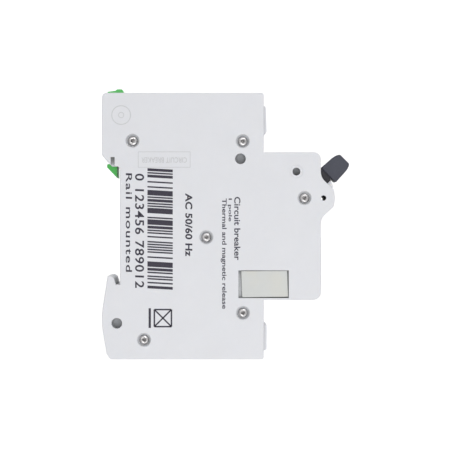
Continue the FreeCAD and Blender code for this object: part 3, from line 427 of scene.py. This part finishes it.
def make_materials():
    """One finished material for every slot of the record."""
    grey = screen_colour(176, 177, 176)
    copper = screen_colour(200, 126, 90)
    return {
        "case_plastic": case_plastic(),
        "pad_plastic": pad_plastic(),
        "toggle_plastic": toggle_plastic(),
        "insert_plastic": moulded_plastic("insert_plastic", screen_colour(250, 250, 252), 0.3,
                                          subsurface=0.3).material,
        "dark_plastic": moulded_plastic("dark_plastic", screen_colour(44, 44, 50), 0.5).material,
        "bobbin_plastic": moulded_plastic("bobbin_plastic", screen_colour(222, 214, 190), 0.45,
                                          subsurface=0.2).material,
        "clip_plastic": clip_plastic(),
        "rivet_steel": metal("rivet_steel", screen_colour(226, 224, 224), 0.34, tarnish=0.25,
                             tarnish_colour=screen_colour(150, 146, 144)),
        "spring_steel": metal("spring_steel", grey, 0.32, (1.0, 1.0, 6.0)),
        "plain_steel": metal("plain_steel", screen_colour(158, 158, 158), 0.45, (1.0, 0.1, 1.0),
                             tarnish=0.4),
        "zinc_steel": metal("zinc_steel", screen_colour(196, 196, 188), 0.34, tarnish=0.3,
                            tarnish_colour=screen_colour(150, 146, 120)),
        "bimetal": metal("bimetal", screen_colour(170, 160, 146), 0.4, (1.0, 1.0, 0.08)),
        "silver": metal("silver", screen_colour(206, 204, 198), 0.4, tarnish=0.4,
                        tarnish_colour=screen_colour(120, 112, 100)),
        "copper": metal("copper", copper, 0.36, (1.0, 0.15, 1.0), tarnish=0.45,
                        tarnish_colour=screen_colour(120, 70, 52)),
        "coil_copper": metal("coil_copper", screen_colour(184, 100, 62), 0.25, tarnish=0.2),
        "braid_copper": braided_copper(),
        "fibre": fibre_board(),
        "label_film": label_film(),
    }


def dress_frame(materials):
    """Give every CAD node the finished material of its slot."""
    for part in frame["record"]["subparts"]:
        node = frame["nodes"][part["node"]]
        for slot in node.material_slots:
            slot.material = materials[part["material_slot"]]


# ---------------------------------------------------------------- printed and moulded marks

def side_point(y, z, lift):
    """A place on the printed side, y and z in millimetres, lifted off the face in metres."""
    return Vector((SIDE_X + lift, y * MM, z * MM))


def finish_piece(name, mesh_data, body, material):
    piece = bpy.data.objects.new(name, mesh_data)
    bpy.context.scene.collection.objects.link(piece)
    piece.data.materials.clear()
    piece.data.materials.append(material)
    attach(piece, body)
    return piece


def add_slab(bm, corners, thick):
    """A thin closed slab on the side face from corners in (y, z) millimetres."""
    low = [bm.verts.new(side_point(y, z, INK_LIFT)) for y, z in corners]
    high = [bm.verts.new(side_point(y, z, INK_LIFT + thick)) for y, z in corners]
    bm.faces.new(list(reversed(low)))
    bm.faces.new(high)
    count = len(corners)
    for i in range(count):
        j = (i + 1) % count
        bm.faces.new((low[i], low[j], high[j], high[i]))


def add_stroke(bm, start, end, width, thick=INK_THICK):
    """A straight printed stroke between two places on the side."""
    run = Vector((end[0] - start[0], end[1] - start[1]))
    across = Vector((-run.y, run.x)).normalized() * width / 2
    corners = [(start[0] + across.x, start[1] + across.y), (end[0] + across.x, end[1] + across.y),
               (end[0] - across.x, end[1] - across.y), (start[0] - across.x, start[1] - across.y)]
    add_slab(bm, corners, thick)


def mesh_from(bm, name):
    bmesh.ops.recalc_face_normals(bm, faces=bm.faces)
    data = bpy.data.meshes.new(name)
    bm.to_mesh(data)
    bm.free()
    return data


def text_mesh(name, words, bold, spacing=1.0):
    """The outline of some words as a flat mesh, read along X with its top towards Y."""
    curve = bpy.data.curves.new(name, "FONT")
    curve.body = words
    curve.offset = bold
    curve.space_character = spacing
    curve.resolution_u = 4
    curve.extrude = 0.01
    holder = bpy.data.objects.new(name + "_source", curve)
    bpy.context.scene.collection.objects.link(holder)
    bpy.context.view_layer.update()
    graph = bpy.context.evaluated_depsgraph_get()
    data = bpy.data.meshes.new_from_object(holder.evaluated_get(graph))
    bpy.data.objects.remove(holder)
    bpy.data.curves.remove(curve)
    data.name = name
    return data


def fit_text(data, origin, along, up, length, height, thick):
    """Move a text mesh so that it fills length by height from origin, along and up."""
    low = Vector([min(v.co[i] for v in data.vertices) for i in range(3)])
    high = Vector([max(v.co[i] for v in data.vertices) for i in range(3)])
    span = high - low
    out = along.cross(up)
    for vertex in data.vertices:
        part = vertex.co - low
        vertex.co = (origin + along * (part.x / span.x * length) + up * (part.y / span.y * height)
                     + out * (part.z / span.z * thick))


def print_along(name, words, base_y, top_y, z_start, z_end, material, bold, spacing=1.0,
                lean=0.0):
    """Print words on the side that read towards +Z with their tops towards the front."""
    data = text_mesh(name, words, bold, spacing)
    origin = side_point(base_y, z_start, INK_LIFT)
    fit_text(data, origin, Vector((0, 0, 1)), Vector((0, -1, 0)), (z_end - z_start) * MM,
             (base_y - top_y) * MM, INK_THICK)
    if lean:
        for vertex in data.vertices:
            vertex.co.z += (base_y * MM - vertex.co.y) * math.tan(lean)
    return finish_piece(name, data, "case", material)


def bar_pattern():
    """An invented pattern of bars and gaps in module widths, from a fixed seed."""
    draw = random.Random(41)
    widths = []
    while sum(widths) < 93:
        widths.append(draw.choice((1, 1, 1, 2, 4)))
        widths.append(draw.choice((1, 1, 1, 2, 3)))
    return widths


def print_bars(material):
    """The block of bars; each leans a little, as it is printed on the real case."""
    near_y, far_y, z_low, z_high = -8.4, -16.1, -17.6, 18.9
    shift = (near_y - far_y) * math.tan(BAR_LEAN)
    widths = bar_pattern()
    module = (z_high - z_low) / sum(widths[:-1])
    bm = bmesh.new()
    position = z_low
    for number, width in enumerate(widths[:-1]):
        reach = width * module
        if number % 2 == 0:
            low, high = position - INK_SPREAD, position + reach + INK_SPREAD
            add_slab(bm, [(near_y, low), (far_y, low + shift), (far_y, high + shift),
                          (near_y, high)], INK_THICK)
        position += reach
    return finish_piece("printed_bars", mesh_from(bm, "printed_bars"), "case",
                        material)


def print_crossed_square(material):
    """A plain pictogram: a square with its diagonals, beside a bar."""
    bm = bmesh.new()
    add_stroke(bm, (-9.1, 25.0), (-9.1, 31.0), 0.7)
    near, far, low, high = -10.5, -15.7, 25.4, 30.6
    corners = [(near, low), (far, low), (far, high), (near, high)]
    for i in range(4):
        add_stroke(bm, corners[i], corners[(i + 1) % 4], 0.46)
    for i in range(2):
        add_stroke(bm, corners[i], corners[i + 2], 0.44)
    return finish_piece("printed_crossed_square", mesh_from(bm, "printed_crossed_square"), "case",
                        material)


def moulded_ring(name, centre, radius, width, height, material):
    """A raised ring on the side, rounded over the top."""
    bm = bmesh.new()
    turns, steps = 96, 8
    rings = []
    for i in range(turns):
        angle = 2 * math.pi * i / turns
        loop = []
        for k in range(steps + 1):
            arc = math.pi * k / steps
            r = radius + math.cos(arc) * width / 2
            lift = math.sin(arc) * height * MM + MARK_ROOT
            loop.append(bm.verts.new(side_point(centre[0] + r * math.cos(angle),
                                                centre[1] + r * math.sin(angle), lift)))
        rings.append(loop)
    for i in range(turns):
        here, ahead = rings[i], rings[(i + 1) % turns]
        for k in range(steps):
            bm.faces.new((here[k], here[k + 1], ahead[k + 1], ahead[k]))
        bm.faces.new((here[steps], here[0], ahead[0], ahead[steps]))
    return finish_piece(name, mesh_from(bm, name), "case", material)


def moulded_words(name, words, y_start, y_end, z_low, z_high, material):
    """Raised words that read upright as installed."""
    data = text_mesh(name, words, 0.0)
    fit_text(data, side_point(y_start, z_low, MARK_ROOT), Vector((0, 1, 0)), Vector((0, 0, 1)),
             (y_end - y_start) * MM, (z_high - z_low) * MM, 0.045 * MM)
    return finish_piece(name, data, "case", material)


def moulded_frame(name, y_low, y_high, z_low, z_high, material):
    """A raised line round the moulded words."""
    bm = bmesh.new()
    corners = [(y_low, z_low), (y_high, z_low), (y_high, z_high), (y_low, z_high)]
    for i in range(4):
        add_stroke(bm, corners[i], corners[(i + 1) % 4], 0.14, 0.03 * MM)
    return finish_piece(name, mesh_from(bm, name), "case", material)


def front_words(name, words, front, x_start, x_end, z_low, z_high, material):
    """Words printed on a flat front face at Y = front, read from the front."""
    data = text_mesh(name, words, 0.015)
    fit_text(data, Vector((x_start * MM, front - INK_LIFT, z_low * MM)), Vector((1, 0, 0)),
             Vector((0, 0, 1)), (x_end - x_start) * MM, (z_high - z_low) * MM, INK_THICK)
    return finish_piece(name, data, "case", material)


def make_marks(materials):
    dark = ink("ink_dark", screen_colour(44, 40, 55), 0.28)
    pale = ink("ink_pale", screen_colour(58, 56, 70), 0.35)
    faint = moulded_plastic("moulded_mark", screen_colour(200, 201, 203), 0.5, mottle=0.01,
                            edge_highlight=1.0, soft=0.03 * MM).material
    print_bars(dark)
    print_along("printed_digits", "0 123456 789012", -4.6, -7.4, -16.0, 18.8, dark, 0.015, 1.1,
                PRINT_LEAN)
    print_along("printed_use", "Rail mounted", -1.8, -3.7, -16.1, 13.9, dark, 0.012, 1.15,
                PRINT_LEAN)
    print_along("printed_supply", "AC 50/60 Hz", -19.9, -22.1, -10.0, 9.2, dark, 0.03, 1.05,
                PRINT_LEAN)
    print_along("printed_kind", "Circuit breaker", -34.8, -36.7, -8.9, 10.4, pale, 0.018)
    print_along("printed_poles", "1 pole", -32.8, -34.1, -8.4, -1.4, pale, 0.018)
    print_along("printed_trips", "Thermal and magnetic release", -30.7, -32.5, -8.4, 25.2, pale,
                0.018)
    print_crossed_square(dark)
    ring_centre = (-0.4, -33.8)
    moulded_ring("moulded_ring", ring_centre, 2.85, 0.24, 0.05, faint)
    moulded_ring("moulded_dot", ring_centre, 0.8, 0.2, 0.04, faint)
    moulded_words("moulded_words", "CIRCUIT BREAKER", -20.4, -6.6, -20.9, -19.3, faint)
    moulded_frame("moulded_frame", -21.4, -5.6, -22.6, -17.9, faint)
    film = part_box("front_label")[0].y
    front_words("label_current", "16 A", film, -4.6, 4.6, 13.6, 17.6, dark)
    front_words("label_voltage", "230 V", film, -3.6, 3.6, 9.6, 11.6, pale)
    front_words("label_on", "I", film, -0.3, 0.3, 4.6, 7.4, dark)
    front_words("terminal_upper", "1", SHOULDER_Y, 4.0, 4.8, 24.6, 27.0, pale)
    front_words("terminal_lower", "2", SHOULDER_Y, 3.7, 5.1, -27.0, -24.6, pale)


# ---------------------------------------------------------------- springs

def coil_mesh(name, foot, mean_radius, wire, pitch, length):
    """A round wire wound upwards from foot, all in millimetres, with flat ends."""
    steps, sides = 24, 10
    bm = bmesh.new()
    rings = []
    for i in range(round(length / pitch * steps) + 1):
        turn = 2 * math.pi * i / steps
        outward = Vector((math.cos(turn), math.sin(turn), 0))
        middle = Vector(foot) + outward * mean_radius + Vector((0, 0, pitch * i / steps))
        ring = []
        for k in range(sides):
            around = 2 * math.pi * k / sides
            edge = outward * math.cos(around) + Vector((0, 0, 1)) * math.sin(around)
            ring.append(bm.verts.new((middle + edge * wire) * MM))
        rings.append(ring)
    for here, ahead in zip(rings, rings[1:]):
        for k in range(sides):
            j = (k + 1) % sides
            face = bm.faces.new((here[k], here[j], ahead[j], ahead[k]))
            face.smooth = True
    bm.faces.new(rings[0])
    bm.faces.new(rings[-1])
    return mesh_from(bm, name)


def closing_spring(node, foot, winding, material):
    """Stands for a CAD spring: a coil wound up from its fixed seat, fixed to the case."""
    name = "closing_" + node
    piece = finish_piece(name, coil_mesh(name, foot, *winding), "case", material)
    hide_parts(node)
    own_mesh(piece)


def make_springs(material):
    closing_spring("clip_spring", (0, 2.4, -35.7), (1.0, 0.22, 1.1, 8.2),
                   material)
    closing_spring("plunger_spring", (0, -17.0, 8.35), (1.6, 0.28, 0.95, 4.2),
                   material)
    closing_spring("contact_spring", (-2.7, -34.3, 1.2), (1.3, 0.25, 1.0, 5.0),
                   material)


# ---------------------------------------------------------------- stage, lights and camera

def plain_material(name, colour, glow=0.0):
    surface = Surface(name, colour, 0.9)
    soft = surface.noise(0.3, detail=1.0)
    surface.roughness(surface.remap(soft, 0.3, 0.7, 0.85, 0.95))
    if glow:
        surface.shader.inputs["Emission Color"].default_value = (1, 1, 1, 1)
        surface.shader.inputs["Emission Strength"].default_value = glow
    return surface.material


def make_plane(name, centre, rotation, size, material):
    bpy.ops.mesh.primitive_plane_add(size=size, location=centre, rotation=rotation)
    plane = bpy.context.object
    plane.name = name
    plane.data.materials.append(material)


def area_light(name, place, size, power):
    data = bpy.data.lights.new(name, "AREA")
    data.shape = "DISK"
    data.size = size
    data.energy = power
    light = bpy.data.objects.new(name, data)
    light.location = place
    aim = Vector(LIGHT_TARGET) - Vector(place)
    light.rotation_euler = aim.to_track_quat("-Z", "Y").to_euler()
    bpy.context.scene.collection.objects.link(light)


def make_stage():
    floor_paint = plain_material("floor_paint", (0.9, 0.9, 0.9, 1))
    make_plane("floor", (0, 0, FLOOR_Z), (0, 0, 0), STAGE_SIZE, floor_paint)
    backdrop_paint = plain_material("backdrop_paint", (0.95, 0.95, 0.95, 1), BACKDROP_GLOW)
    make_plane("backdrop", (BACKDROP_X, 0, 0), (0, math.radians(90), 0), STAGE_SIZE,
               backdrop_paint)
    world = bpy.data.worlds.new("studio")
    world.use_nodes = True
    background = world.node_tree.nodes["Background"]
    background.inputs["Color"].default_value = (1, 1, 1, 1)
    background.inputs["Strength"].default_value = WORLD_GLOW
    bpy.context.scene.world = world
    area_light("key", KEY_PLACE, KEY_SIZE, KEY_POWER)
    area_light("fill", FILL_PLACE, FILL_SIZE, FILL_POWER)
    bpy.context.scene.view_settings.view_transform = "Standard"


def make_camera():
    """Square on to the printed side, rolled half a turn so that the breaker is upside down."""
    data = bpy.data.cameras.new("camera")
    data.sensor_width = CAMERA_SENSOR
    data.lens = CAMERA_LENS
    data.clip_start = 0.01
    camera = bpy.data.objects.new("camera", data)
    camera.location = (SIDE_X + CAMERA_REACH, CAMERA_Y, CAMERA_Z)
    right, up, back = Vector((0, -1, 0)), Vector((0, 0, -1)), Vector((1, 0, 0))
    camera.rotation_euler = Matrix((right, up, back)).transposed().to_euler()
    bpy.context.scene.collection.objects.link(camera)
    bpy.context.scene.camera = camera


make_camera()
make_stage()
library = make_materials()
dress_frame(library)
make_marks(library)
make_springs(library["spring_steel"])
